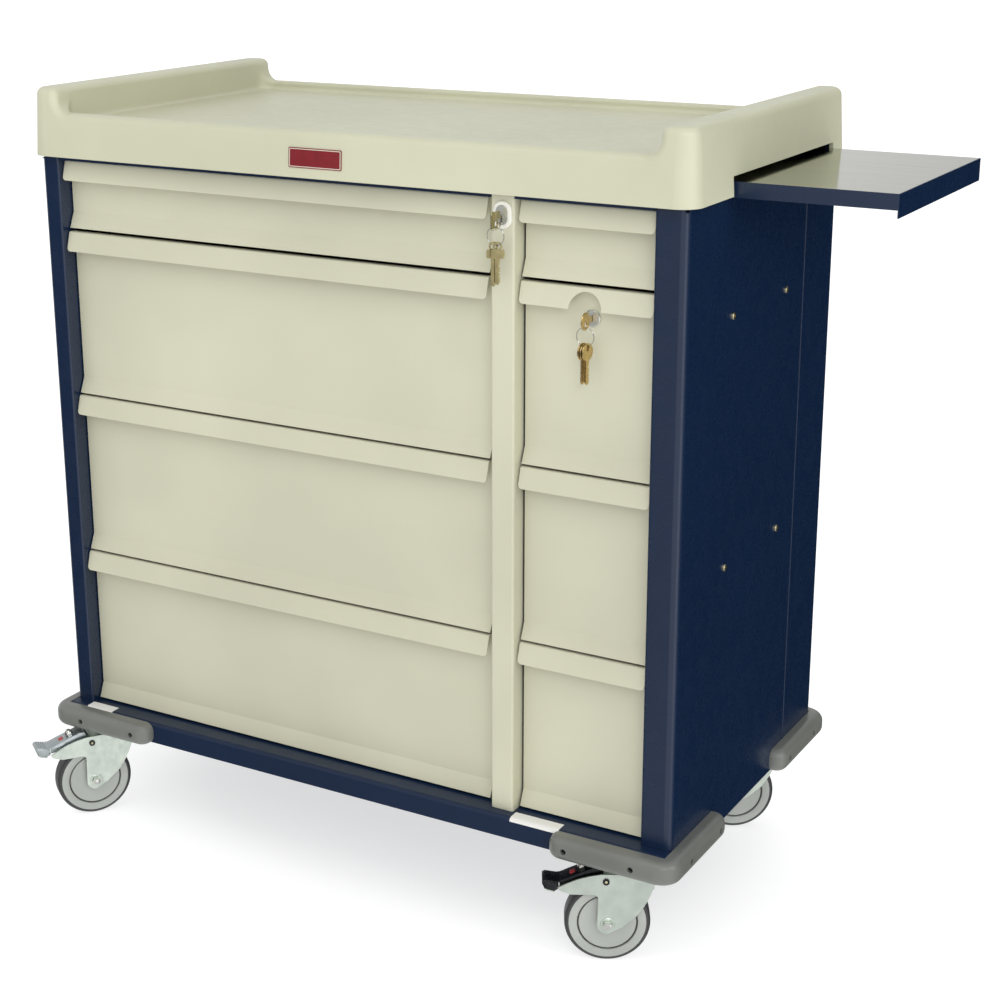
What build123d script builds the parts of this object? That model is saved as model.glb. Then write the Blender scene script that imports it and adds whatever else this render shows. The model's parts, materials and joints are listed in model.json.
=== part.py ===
from build123d import *
import math
import os

# Medication cart: a double-column drawer cabinet on four swivel casters.
# Frame: millimetres, +Z up, front towards -Y, +X to the right.
# Origin: on the floor, under the centre of the cabinet.

os.makedirs("parts", exist_ok=True)

# ---------------------------------------------------------------- cabinet
HALF_W = 546.0          # half width over the side panels
FRONT_Y = -279.0        # front plane of the stiles and the centre post
REAR_Y = 279.0          # rear plane of the back panel
SHEET = 1.5             # cabinet sheet thickness
BASE_Z0 = 156.0         # underside of the base pan
BASE_Z1 = 190.0         # top of the base ledge
LEDGE_Y = -298.5        # front face of the base pan
DECK_Z0 = 1100.0        # underside of the top deck
DECK_Z1 = 1101.5        # top of the top deck
PANEL_TOP = 1154.0      # top edge of the cabinet, under the worktop floor
SEAM_Y = 155.0          # seam between side panel and back panel
LEFT_IN = -511.5        # inner face of the left stile
RIGHT_IN = 499.0        # inner face of the right stile
RETURN_Y = -225.0       # rear end of the stile returns
PART_X0 = 248.0         # centre partition, left face
PART_X1 = 292.0         # centre partition, right face
PART_Y0 = -250.0        # centre partition, front face
POST_X0 = 255.5         # centre post, left face
CLEAR = 0.2             # assembly clearance between bent sheets

# ---------------------------------------------------------------- drawers
FACE_Y = -252.0         # recessed face of every drawer front
LIP_OUT_TOP = 13.0      # handle lip, top edge ahead of the face
LIP_OUT_BOT = 21.5      # handle lip, lower edge ahead of the face
LIP_H = 30.0            # handle lip height
FLARE_OUT = 10.5        # flared lower edge ahead of the face
FLARE_H = 25.0          # height of the flared lower edge
FRONT_T = 1.5           # drawer front sheet
BOX_T = 1.2             # drawer box sheet
LIP_R = 6.0             # rounded lower corners of the lip
LEFT_FRONT = (-509.5, 244.5)
RIGHT_FRONT = (295.5, 496.5)
LEFT_BOX = (-498.5, 235.0)
RIGHT_BOX = (305.0, 486.0)
BOX_BACK_Y = 235.0
# top and bottom of the four fronts in each column, top drawer first
LEVELS = [(991.5, 1098.0), (724.0, 986.5), (458.5, 721.0), (193.0, 455.5)]
BOX_LIFT = 12.5         # drawer box floor above the front's lower edge
BOX_DROP = 16.0         # drawer box rim below the front's top edge
RUNNER_UP = 22.0        # runner centre above the box floor
RUNNER_Y = (-245.0, 235.0)

# ---------------------------------------------------------------- lock
LOCK_X = 274.7
LOCK_Z = 1072.5
CORE_Z = 1077.5
BAR_Y = (-240.0, -238.0)
BAR_X = (260.0, 278.0)
TAB_UP = 48.0           # lock bar arm above each box floor
TAB_H = 10.0
CATCH_UP = 60.0         # drawer catch above the box floor
LOCK_STROKE = 10.0      # lift of the lock bar over a quarter turn
DLOCK_X = 398.5
DLOCK_Z = 942.4
KEY_BAR = 11.0          # lock axis to the bow's lower bar
KEY_HOLE = 4.7          # radius of the hole in the bow of a turned key
RING_R = 13.0
RING_WIRE = 0.8
RING_DROP = 10.3        # bow bar to ring centre

# ---------------------------------------------------------------- worktop
TOP_X = 558.5
TOP_Y0 = -291.0
TOP_Y1 = 288.0
TOP_Z0 = 1106.0
TOP_Z1 = 1210.0
DRAFT = 3.5
RIM_Z = 1173.0
FLOOR_Z = 1158.0
WALL_IN = 505.0
TRAY_HALF = 264.0       # half depth of the recessed floor
SLOT_Y = (-160.0, 224.0)
SLOT_Z = 1133.0

# ---------------------------------------------------------------- shelf
SHELF_X = (350.0, 779.5)
SHELF_Y = (-152.0, 216.0)
SHELF_Z = 1125.0
SHELF_SKIRT = 21.5
SHELF_END = 32.0

# ---------------------------------------------------------------- bumpers
BUMP_Z = (154.0, 190.5)
BUMP_OUT = 24.0
BUMP_LEG = 202.0
BUMP_ROUND = 14.0       # rounding of the bumper's section
SCREW_AT = (66.0, 172.0)
SCREW_Z = 172.2

# ---------------------------------------------------------------- casters
WHEEL_R = 62.5
WHEEL_W = 32.0
TRAIL = 39.4
AXLE_R = 6.0
RUN_GAP = 0.05
CASTERS = {
    "front_right": (485.0, -263.0, 28.4, 4.0),
    "front_left": (-485.0, -263.0, 54.4, 0.0),
    "rear_right": (485.0, 216.0, 33.0, None),
    "rear_left": (-485.0, 216.0, 41.0, None),
}


# ---------------------------------------------------------------- helpers
def block(x0, x1, y0, y1, z0, z1):
    size = Box(x1 - x0, y1 - y0, z1 - z0)
    return Pos((x0 + x1) / 2, (y0 + y1) / 2, (z0 + z1) / 2) * size


def rod_x(y, z, radius, x0, x1):
    return Pos((x0 + x1) / 2, y, z) * Rot(0, 90, 0) * Cylinder(radius, x1 - x0)


def rod_y(x, z, radius, y0, y1):
    return Pos(x, (y0 + y1) / 2, z) * Rot(90, 0, 0) * Cylinder(radius, y1 - y0)


def rod_z(x, y, radius, z0, z1):
    return Pos(x, y, (z0 + z1) / 2) * Cylinder(radius, z1 - z0)


def oval_y(x, z, width, height, y0, y1):
    face = SlotOverall(height, width, rotation=90)
    plane = Plane(origin=(x, y1, z), x_dir=(1, 0, 0), z_dir=(0, -1, 0))
    return extrude(plane * face, amount=y1 - y0)


def bent(points, radii, thickness, side):
    """Constant-thickness sheet section along a filleted polyline."""
    path = FilletPolyline(*points, radius=radii)
    return make_face(offset(path, amount=thickness, side=side))


def save(name, *shapes):
    solids = [s for shape in shapes for s in shape.solids()]
    item = solids[0] if len(solids) == 1 else Compound(children=solids)
    item.label = name
    export_step(item, "parts/" + name + ".step")


# ---------------------------------------------------------------- side panels
def side_panel(sign, inner):
    """Stile return, stile, rounded corner and side sheet in one bend."""
    points = [
        (inner, RETURN_Y),
        (inner, FRONT_Y),
        (sign * HALF_W, FRONT_Y),
        (sign * HALF_W, SEAM_Y - 0.5),
    ]
    side = Side.LEFT if sign > 0 else Side.RIGHT
    section = bent(points, [3.0, 11.0], SHEET, side)
    panel = Pos(0, 0, BASE_Z0) * extrude(section, amount=PANEL_TOP - BASE_Z0)
    lo, hi = sorted((inner - sign * 2, sign * (HALF_W - SHEET)))
    panel -= block(lo, hi, FRONT_Y - 1, RETURN_Y + 1, BASE_Z0 - 1, BASE_Z1)
    panel -= block(lo, hi, FRONT_Y + SHEET, RETURN_Y + 1, DECK_Z0 - CLEAR, PANEL_TOP + 1)
    return panel


SCREW_YZ = [(y, z) for y in (-117.0, 83.0) for z in (568.0, 935.0)]

right_panel = side_panel(1, RIGHT_IN)
right_panel -= block(HALF_W - 5, HALF_W + 5, SLOT_Y[0], SEAM_Y + 1, DECK_Z1, PANEL_TOP + 1)
left_panel = side_panel(-1, LEFT_IN)
for y, z in SCREW_YZ:
    right_panel -= rod_x(y, z, 2.7, HALF_W - 5, HALF_W + 5)
    left_panel -= rod_x(y, z, 4.5, -HALF_W - 5, -HALF_W + 5)
save("right_side_panel", right_panel)
save("left_side_panel", left_panel)

screws = []
inserts = []
for y, z in SCREW_YZ:
    head = rod_x(y, z, 5.0, HALF_W, HALF_W + 2.6)
    head = fillet(head.faces().sort_by(Axis.X)[-1].edges(), 1.4)
    head -= block(HALF_W + 1.6, HALF_W + 3, y - 0.6, y + 0.6, z - 3, z + 3)
    head -= block(HALF_W + 1.6, HALF_W + 3, y - 3, y + 3, z - 0.6, z + 0.6)
    screws.append(head + rod_x(y, z, 2.5, HALF_W - 10, HALF_W))
    barrel = rod_x(y, z, 4.3, -HALF_W, -HALF_W + 14)
    flange = rod_x(y, z, 6.5, -HALF_W - 1, -HALF_W)
    inserts.append(barrel + flange - rod_x(y, z, 3.0, -HALF_W - 2, -HALF_W + 15))
save("side_screws", *screws)
save("bolt_inserts", *inserts)

# ---------------------------------------------------------------- back panel
points = [
    (-HALF_W, SEAM_Y + 0.5),
    (-HALF_W, REAR_Y),
    (HALF_W, REAR_Y),
    (HALF_W, SEAM_Y + 0.5),
]
section = bent(points, [8.0, 8.0], SHEET, Side.RIGHT)
back = Pos(0, 0, BASE_Z0) * extrude(section, amount=PANEL_TOP - BASE_Z0)
for sign in (-1, 1):
    lo, hi = sorted((sign * (HALF_W - 2 * SHEET), sign * (HALF_W - SHEET)))
    back += block(lo, hi, SEAM_Y - 19, SEAM_Y + 20, BASE_Z1 + 2, DECK_Z0 - 1)
back -= block(HALF_W - 5, HALF_W + 5, SEAM_Y, SLOT_Y[1], DECK_Z1, PANEL_TOP + 1)
save("back_panel", back)

# ---------------------------------------------------------------- base pan
inner_w = HALF_W - SHEET - CLEAR
base = block(-inner_w, inner_w, FRONT_Y - 1, REAR_Y - SHEET - CLEAR, BASE_Z0, BASE_Z1)
base = fillet(base.edges().filter_by(Axis.Z).sort_by(Axis.Y)[-2:], 8.0)
base += block(-HALF_W, HALF_W, LEDGE_Y, FRONT_Y - CLEAR, BASE_Z0, BASE_Z1)
ledge_edge = base.edges().filter_by(Axis.X).filter_by_position(Axis.Y, LEDGE_Y - 1, LEDGE_Y + 1)
base = fillet(ledge_edge.sort_by(Axis.Z)[-1], 7.0)
base -= block(-540, 540, LEDGE_Y + 2, REAR_Y - 5, BASE_Z0 + 2, BASE_Z1 - 2)
base -= block(-400, 400, -190, 140, BASE_Z0 - 1, BASE_Z0 + 3)
save("base_pan", base)

# ---------------------------------------------------------------- top deck
deck = block(-inner_w, inner_w, FRONT_Y + SHEET + CLEAR, REAR_Y - SHEET - CLEAR, DECK_Z0, DECK_Z1)
deck = fillet(deck.edges().filter_by(Axis.Z).sort_by(Axis.Y)[-2:], 8.0)
for x0, x1 in ((LEFT_IN + 0.5, POST_X0 - CLEAR), (PART_X1 + CLEAR, RIGHT_IN - 0.5)):
    strip = block(x0, x1, FRONT_Y, FRONT_Y + SHEET, DECK_Z0, PANEL_TOP)
    tie = block(x0, x1, FRONT_Y + SHEET - 0.5, FRONT_Y + SHEET + 1, DECK_Z0, DECK_Z1)
    deck = deck + strip + tie
save("top_deck", deck)

# ---------------------------------------------------------------- centre post
points = [
    (POST_X0, PART_Y0),
    (POST_X0, FRONT_Y),
    (PART_X1, FRONT_Y),
    (PART_X1, PART_Y0),
]
section = bent(points, [3.5, 3.5], SHEET, Side.LEFT)
post = Pos(0, 0, BASE_Z1) * extrude(section, amount=PANEL_TOP - BASE_Z1)
post -= block(POST_X0 - 1, PART_X1 + 1, FRONT_Y + SHEET, PART_Y0 + 1, DECK_Z0 - CLEAR, PANEL_TOP + 1)
post -= oval_y(LOCK_X, CORE_Z, 17.9, 27.4, FRONT_Y - 1, FRONT_Y + 3)
save("centre_post", post)

# ---------------------------------------------------------------- partition
part_y1 = 262.0
outer = block(PART_X0, PART_X1, PART_Y0, part_y1, BASE_Z1, DECK_Z0)
hollow = block(
    PART_X0 + BOX_T, PART_X1 - BOX_T, PART_Y0 + BOX_T, part_y1 - BOX_T, BASE_Z1 - 1, DECK_Z0 + 1
)
partition = outer - hollow
for z in (230.0, 640.0, 890.0):
    guide = block(PART_X0 + 1, PART_X1 - 1, -247, -231, z, z + 2)
    guide -= block(BAR_X[0] - 1, BAR_X[1] + 1, BAR_Y[0] - 0.6, BAR_Y[1] + 0.6, z - 1, z + 3)
    bridge_front = block(PART_X0 + 1, PART_X1 - 1, PART_Y0 + 1, -246, z, z + 2)
    partition = partition + guide + bridge_front
for bottom, top in LEVELS:
    z0 = bottom + BOX_LIFT + TAB_UP - 2
    z1 = z0 + TAB_H + LOCK_STROKE + 4
    partition -= block(PART_X0 - 1, PART_X1 + 1, BAR_Y[0] - 3, BAR_Y[1] + 3, z0, z1)
partition -= rod_y(LOCK_X, LOCK_Z, 10.0, PART_Y0 - 1, PART_Y0 + 2)
# keeper rail over the locking drawer, welded to the partition
keeper = block(PART_X1 - 1, RIGHT_IN - CLEAR, -249.0, -247.0, 992.5, 1002.5)
partition += keeper
save("centre_partition", partition)

# ---------------------------------------------------------------- uprights
uprights = []
for outer_x, inner_x in ((-HALF_W + SHEET, LEFT_IN), (HALF_W - SHEET, RIGHT_IN)):
    points = [(outer_x, 200.0), (inner_x, 200.0), (inner_x, 230.0), (outer_x, 230.0)]
    side = Side.LEFT if outer_x < 0 else Side.RIGHT
    section = bent(points, [2.5, 2.5], SHEET, side)
    uprights.append(Pos(0, 0, BASE_Z1) * extrude(section, amount=DECK_Z0 - BASE_Z1))
save("slide_uprights", *uprights)


# ---------------------------------------------------------------- runners
def c_section(x_wall, x_open, z_mid, half_h, thick):
    """Runner of C section: web at x_wall, flanges reaching to x_open."""
    step = thick if x_open > x_wall else -thick
    y0, y1 = RUNNER_Y
    web = block(*sorted((x_wall, x_wall + step)), y0, y1, z_mid - half_h, z_mid + half_h)
    lo, hi = sorted((x_wall, x_open))
    upper = block(lo, hi, y0, y1, z_mid + half_h - thick, z_mid + half_h)
    lower = block(lo, hi, y0, y1, z_mid - half_h, z_mid - half_h + thick)
    return web + upper + lower


runner_walls = [
    (LEFT_IN, LEFT_BOX[0]),
    (PART_X0, LEFT_BOX[1]),
    (PART_X1, RIGHT_BOX[0]),
    (RIGHT_IN, RIGHT_BOX[1]),
]
runners = []
for bottom, top in LEVELS:
    z_mid = bottom + BOX_LIFT + RUNNER_UP
    for wall, box_side in runner_walls:
        reach = wall + 11.0 * (1 if box_side > wall else -1)
        runners.append(c_section(wall, reach, z_mid, 19.0, 1.4))
save("cabinet_runners", *runners)


# ---------------------------------------------------------------- drawer fronts
def drawer_front(x0, x1, z0, z1, cutout=None):
    back_y = FACE_Y + FRONT_T
    points = [
        (FACE_Y - LIP_OUT_BOT, z1 - LIP_H),
        (FACE_Y - LIP_OUT_TOP, z1),
        (back_y, z1),
        (back_y, z0 + FLARE_H),
        (FACE_Y - FLARE_OUT + FRONT_T, z0),
    ]
    section = bent(points, [3.0, 3.0, 4.0], FRONT_T, Side.RIGHT)
    front = extrude(Plane.YZ * section, amount=x1 - x0)
    front = Pos(x0, 0, 0) * front
    # round the two lower corners of the lip
    for x, sign in ((x0, 1), (x1, -1)):
        z_lip = z1 - LIP_H
        corner = block(*sorted((x - sign, x + sign * LIP_R)), -290, -262, z_lip - 2, z_lip + LIP_R)
        corner -= rod_y(x + sign * LIP_R, z_lip + LIP_R, LIP_R, -291, -261)
        front -= corner
    if cutout:
        front -= rod_y(cutout[0], cutout[1], 24.5, -290, -262)
    return front


# ---------------------------------------------------------------- drawer boxes
def drawer_box(x0, x1, z0, z1, walls, catch_side):
    """Open tray with its runner members and its lock catch."""
    y0 = FACE_Y + FRONT_T
    tray = block(x0, x1, y0, BOX_BACK_Y, z0, z1)
    tray -= block(x0 + BOX_T, x1 - BOX_T, y0 + BOX_T, BOX_BACK_Y - BOX_T, z0 + BOX_T, z1 + 1)
    z_mid = z0 + RUNNER_UP
    for wall, side_x in zip(walls, (x0, x1)):
        outward = 1 if wall > side_x else -1
        tray += c_section(side_x, side_x + outward * 10.0, z_mid, 16.0, 1.4)
    inset = (x1 + 10.5) if catch_side > 0 else (x0 - 10.5)
    edge = x1 if catch_side > 0 else x0
    z_catch = z0 + CATCH_UP
    plate = block(*sorted((edge, inset)), BAR_Y[1] + 3, BAR_Y[1] + 5, z_catch, z_catch + 10)
    foot = block(
        *sorted((edge, edge + catch_side * 2)), BAR_Y[1] + 3, BAR_Y[1] + 20, z_catch, z_catch + 10
    )
    return tray + plate + foot


COLUMNS = [
    ("left", LEFT_FRONT, LEFT_BOX, (LEFT_IN, PART_X0), 1),
    ("right", RIGHT_FRONT, RIGHT_BOX, (PART_X1, RIGHT_IN), -1),
]
for column, front_x, box_x, walls, catch_side in COLUMNS:
    for number, (bottom, top) in enumerate(LEVELS, start=1):
        locking = column == "right" and number == 2
        cutout = (396.0, 956.5) if locking else None
        front = drawer_front(*front_x, bottom, top, cutout)
        tray = drawer_box(*box_x, bottom + BOX_LIFT, top - BOX_DROP, walls, catch_side)
        if locking:
            front -= rod_y(DLOCK_X, DLOCK_Z, 9.7, FACE_Y - 1, FACE_Y + 3)
            tray -= rod_y(DLOCK_X, DLOCK_Z, 14.0, FACE_Y, FACE_Y + 4)
        name = column + "_drawer_" + str(number)
        save(name + "_front", front)
        save(name + "_box", tray)


# ---------------------------------------------------------------- keys
def key_shape(bow, blade_len, blade_w):
    """Key blank lying in the local XY plane, blade along +X, bow about the origin."""
    blade = Pos(10 + blade_len / 2, 0, 0) * Box(blade_len, blade_w, 2.0)
    return bow + blade


def round_bow():
    bow = Cylinder(12.5, 2.0)
    return bow


def square_bow():
    bow = Box(25.0, 25.0, 2.0)
    return fillet(bow.edges().filter_by(Axis.Z), 5.0)


def key_in_lock(bow, x, z, y_bow, y_face):
    """Key in a lock: plane YZ, blade into the lock, ring hole at the lower rim."""
    blade_len = y_face - y_bow - 9.5
    flat = key_shape(bow, blade_len, 8.0)
    plane = Plane(origin=(x, y_bow, z), x_dir=(0, 1, 0), z_dir=(1, 0, 0))
    solid = plane * flat
    hole_z = z - KEY_BAR + 1.5 + KEY_HOLE
    return solid - rod_x(y_bow, hole_z, KEY_HOLE, x - 5, x + 5)


def hanging_key(bow, x, y, z, spin, length):
    """Key hanging from the bottom of a ring, blade down, turned about Z by spin."""
    flat = key_shape(bow, length - 22.0, 7.5)
    flat -= Pos(-5.6, 0, 0) * Cylinder(3.9, 5.0)
    for cut in (18.0, 24.0, 30.0):
        flat -= Pos(cut, 4.4, 0) * Rot(0, 0, 45) * Box(2.4, 2.4, 5.0)
    down = Plane(origin=(0, 0, 0), x_dir=(0, 0, -1), z_dir=(1, 0, 0))
    return Pos(x, y, z) * Rot(0, 0, spin) * (down * flat)


def key_ring(x, y, z):
    plane = Plane(origin=(x, y, z), x_dir=(1, 0, 0), z_dir=(0, -1, 0))
    return plane * Torus(RING_R, RING_WIRE)


def ring_keys(bow, x, y, z, angles, spin, length, hang):
    """Keys through the lower part of the ring, side by side."""
    out = []
    for angle in angles:
        rad = math.radians(angle)
        kx = x + RING_R * math.sin(rad)
        kz = z - RING_R * math.cos(rad)
        # the ring runs through the upper half of the key's hole
        out.append(hanging_key(bow, kx, y, kz - 5.6 - hang, spin, length))
    return out


# ---------------------------------------------------------------- main lock
core = oval_y(LOCK_X, CORE_Z, 17.6, 27.1, FRONT_Y - 5.0, FRONT_Y + 17.0)
core -= rod_y(LOCK_X, LOCK_Z, 6.3 + RUN_GAP, FRONT_Y - 6, FRONT_Y + 18)
collar = oval_y(LOCK_X, CORE_Z, 26.0, 36.0, FRONT_Y + SHEET, FRONT_Y + 5.0)
core += collar - oval_y(LOCK_X, CORE_Z, 17.0, 26.5, FRONT_Y, FRONT_Y + 6.0)
save("main_lock_housing", core)

ring = oval_y(LOCK_X, CORE_Z, 28.4, 38.0, FRONT_Y - 4.0, FRONT_Y)
ring = chamfer(ring.faces().sort_by(Axis.Y)[0].edges(), 1.5)
ring -= oval_y(LOCK_X, CORE_Z, 17.9, 27.4, FRONT_Y - 5, FRONT_Y + 1)
save("main_lock_escutcheon", ring)

KEY_Y = -300.0
plug = rod_y(LOCK_X, LOCK_Z, 6.3, FRONT_Y - 4.6, FRONT_Y + 17.5)
plug += rod_y(LOCK_X, LOCK_Z, 4.0, FRONT_Y + 17.5, -244.0)
plug -= block(LOCK_X - 1.3, LOCK_X + 1.3, FRONT_Y - 6, FRONT_Y + 14, LOCK_Z - 4.3, LOCK_Z + 4.3)
save("main_lock_plug", plug)
cam = rod_y(LOCK_X, LOCK_Z, 8.0, -244.0, -242.0)
cam += rod_y(LOCK_X - 5.0, LOCK_Z - 5.0, 4.0, -244.0, -242.0)
cam += rod_y(LOCK_X - 5.0, LOCK_Z - 5.0, 2.0, -242.0, -237.0)
save("main_lock_cam", cam)
save("main_key", key_in_lock(square_bow(), LOCK_X, LOCK_Z, KEY_Y, FRONT_Y + 12.0))
ring_z = LOCK_Z - KEY_BAR - RING_DROP
save("main_key_ring", key_ring(LOCK_X, KEY_Y, ring_z))
main_spares = ring_keys(square_bow(), LOCK_X, KEY_Y, ring_z, (-10.0, 10.0), -55.0, 62.0, 1.0)
save("main_spare_keys", *main_spares)

# lock bar: vertical strip with one arm for each pair of drawers
bar = block(BAR_X[0], BAR_X[1], *BAR_Y, 205.0, 1084.0)
for bottom, top in LEVELS:
    z0 = bottom + BOX_LIFT + TAB_UP
    bar += block(PART_X0 - 6, PART_X1 + 6, *BAR_Y, z0, z0 + TAB_H)
slot = block(LOCK_X - 9.6, LOCK_X - 2.4, BAR_Y[0] - 1, BAR_Y[1] + 1, LOCK_Z - 7.6, LOCK_Z - 2.4)
save("lock_bar", bar - slot)

# ---------------------------------------------------------------- drawer lock
housing = rod_y(DLOCK_X, DLOCK_Z, 9.5, FACE_Y, FACE_Y + 15)
housing += rod_y(DLOCK_X, DLOCK_Z, 12.0, FACE_Y - 3.0, FACE_Y)
housing = chamfer(housing.faces().sort_by(Axis.Y)[0].edges(), 1.2)
nut = Plane(origin=(DLOCK_X, FACE_Y + 6.5, DLOCK_Z), x_dir=(1, 0, 0), z_dir=(0, -1, 0))
nut_solid = extrude(nut * RegularPolygon(12.5, 6), amount=5.0)
housing += nut_solid - rod_y(DLOCK_X, DLOCK_Z, 9.0, FACE_Y, FACE_Y + 8)
housing -= rod_y(DLOCK_X, DLOCK_Z, 7.5 + RUN_GAP, FACE_Y - 4, FACE_Y + 16)
save("drawer_lock_housing", housing)

DKEY_Y = -274.5
plug = rod_y(DLOCK_X, DLOCK_Z, 7.5, FACE_Y - 2.6, FACE_Y + 15.6)
plug -= block(DLOCK_X - 1.3, DLOCK_X + 1.3, FACE_Y - 4, FACE_Y + 13, DLOCK_Z - 4.3, DLOCK_Z + 4.3)
save("drawer_lock_plug", plug)
cam = rod_y(DLOCK_X, DLOCK_Z, 9.0, FACE_Y + 15.6, FACE_Y + 18.0)
arm = block(DLOCK_X - 56.0, DLOCK_X, FACE_Y + 15.6, FACE_Y + 18.0, DLOCK_Z - 6, DLOCK_Z + 6)
tip = block(DLOCK_X - 56.0, DLOCK_X - 40.0, -245.0, FACE_Y + 18.0, DLOCK_Z - 6, DLOCK_Z + 6)
save("drawer_lock_cam", cam + arm + tip)
save("drawer_key", key_in_lock(round_bow(), DLOCK_X, DLOCK_Z, DKEY_Y, FACE_Y + 11.0))
ring_z = DLOCK_Z - KEY_BAR - RING_DROP
save("drawer_key_ring", key_ring(DLOCK_X, DKEY_Y, ring_z))
spares = ring_keys(round_bow(), DLOCK_X, DKEY_Y, ring_z, (-15.0, 0.0, 15.0), -8.0, 58.0, 2.4)
save("drawer_spare_keys", *spares)

# ---------------------------------------------------------------- worktop
mid_y = (TOP_Y0 + TOP_Y1) / 2
outline = RectangleRounded(2 * TOP_X, TOP_Y1 - TOP_Y0, 30.0)
top = extrude(Pos(0, mid_y, TOP_Z0) * outline, amount=TOP_Z1 - TOP_Z0, taper=DRAFT)
# low front and rear rims between the two end walls
saddle = Pos(0, 0, (RIM_Z + 1260) / 2) * Box(2 * WALL_IN, 700, 1260 - RIM_Z)
lower_edges = saddle.edges().filter_by(Axis.Y).sort_by(Axis.Z)[:2]
saddle = fillet(lower_edges, 20.0)
top -= saddle
top_edges = top.edges().filter_by_position(Axis.Z, RIM_Z - 0.1, TOP_Z1 + 1)
top = fillet(top_edges, 12.0)
tray = Pos(0, mid_y, FLOOR_Z) * RectangleRounded(2 * WALL_IN + 1.0, 2 * TRAY_HALF, 22.0)
tray_cut = extrude(tray, amount=90.0)
tray_cut = fillet(tray_cut.faces().sort_by(Axis.Z)[0].edges(), 7.0)
top -= tray_cut
rims = []
for edge in top.edges().filter_by_position(Axis.Z, RIM_Z - 0.1, RIM_Z + 0.1):
    if edge.length > 300 and abs(abs(edge.center().Y - mid_y) - TRAY_HALF) < 2:
        rims.append(edge)
top = fillet(rims, 6.0)
# hollow skirt that drops over the cabinet, and hollow end walls
cavity = Pos(0, -0.25, TOP_Z0 - 1) * RectangleRounded(1102.0, 566.5, 14.0)
top -= extrude(cavity, amount=PANEL_TOP - TOP_Z0 + 1)
for sign in (-1, 1):
    lo, hi = sorted((sign * 512.0, sign * 540.0))
    top -= block(lo, hi, -250.0, 248.0, PANEL_TOP - 1, 1198.0)
top -= block(HALF_W, HALF_W + 20, *SLOT_Y, TOP_Z0 - 1, SLOT_Z)
save("worktop", top)

# plain badge plate on the sloping front skirt
slope = math.tan(math.radians(DRAFT))
badge_z = 1134.5
badge_plane = Plane(
    origin=(-23.0, TOP_Y0 + (badge_z - TOP_Z0) * slope, badge_z),
    x_dir=(1, 0, 0),
    z_dir=(0, -math.cos(math.radians(DRAFT)), math.sin(math.radians(DRAFT))),
)
save("badge_plate", extrude(badge_plane * RectangleRounded(90.0, 28.5, 2.0), amount=1.2))

# blank label plates on the base ledge
labels = []
for x0, x1 in ((-510.0, -457.0), (297.0, 377.0)):
    labels.append(block(x0, x1, LEDGE_Y + 7.0, LEDGE_Y + 21.0, BASE_Z1, BASE_Z1 + 0.4))
save("base_labels", *labels)

# ---------------------------------------------------------------- shelf
x0, x1 = SHELF_X
y0, y1 = SHELF_Y
steel = block(x0 + 1, x1 - SHEET, y0 + SHEET, y1 - SHEET, SHELF_Z - 1.2, SHELF_Z)
save("shelf_top", steel)
frame = block(x0, x1 - SHEET, y0, y1, SHELF_Z - SHELF_SKIRT, SHELF_Z)
frame -= block(x0 + SHEET, x1 - SHEET - 1.5, y0 + SHEET, y1 - SHEET, SHELF_Z - 40, SHELF_Z - 2.7)
frame -= block(x0 - 1, x1, y0 + SHEET, y1 - SHEET, SHELF_Z - 1.2, SHELF_Z + 1)
frame += block(x1 - SHEET, x1, y0, y1, SHELF_Z - SHELF_END, SHELF_Z)
save("shelf_frame", frame)

guides = []
for edge, sign in ((y0, -1), (y1, 1)):
    web = block(120, 535, *sorted((edge + sign * 0.4, edge + sign * 1.9)), DECK_Z1, SHELF_Z + 2)
    under = block(120, 535, *sorted((edge - sign * 7, edge + sign * 1.9)), DECK_Z1, DECK_Z1 + 1.6)
    over = block(120, 535, *sorted((edge - sign * 1.2, edge + sign * 1.9)), SHELF_Z + 0.5, SHELF_Z + 2)
    foot = block(120, 535, *sorted((edge + sign * 1.9, edge + sign * 16)), DECK_Z1, DECK_Z1 + 1.5)
    guides.append(web + under + over + foot)
save("shelf_guides", *guides)


# ---------------------------------------------------------------- bumpers
def corner_bumper(sx, sy, y_face):
    """L-shaped bumper wrapping one corner of the base."""
    xo = sx * (HALF_W + BUMP_OUT)
    yo = y_face + sy * BUMP_OUT
    xi = sx * HALF_W
    x_end = xo - sx * BUMP_LEG
    y_end = yo - sy * BUMP_LEG
    outline = [
        (xo, yo),
        (x_end, yo),
        (x_end, y_face),
        (xi, y_face),
        (xi, y_end),
        (xo, y_end),
    ]
    face = make_face(Polyline(*outline, close=True))
    face = fillet(face.vertices().sort_by_distance((xo, yo, 0))[0], 32.0)
    for point in ((x_end, yo), (xo, y_end)):
        face = fillet(face.vertices().sort_by_distance((point[0], point[1], 0))[0], 20.0)
    body = Pos(0, 0, BUMP_Z[0]) * extrude(face, amount=BUMP_Z[1] - BUMP_Z[0])
    faces = body.faces().sort_by(Axis.Z)
    rim = []
    for cap in (faces[0], faces[-1]):
        for edge in cap.edges():
            mid = edge.position_at(0.5)
            on_front = abs(mid.Y - y_face) < 0.1 and edge.length > 50
            on_side = abs(mid.X - xi) < 0.1 and edge.length > 50
            if not on_front and not on_side:
                rim.append(edge)
    return fillet(rim, BUMP_ROUND)


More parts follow.
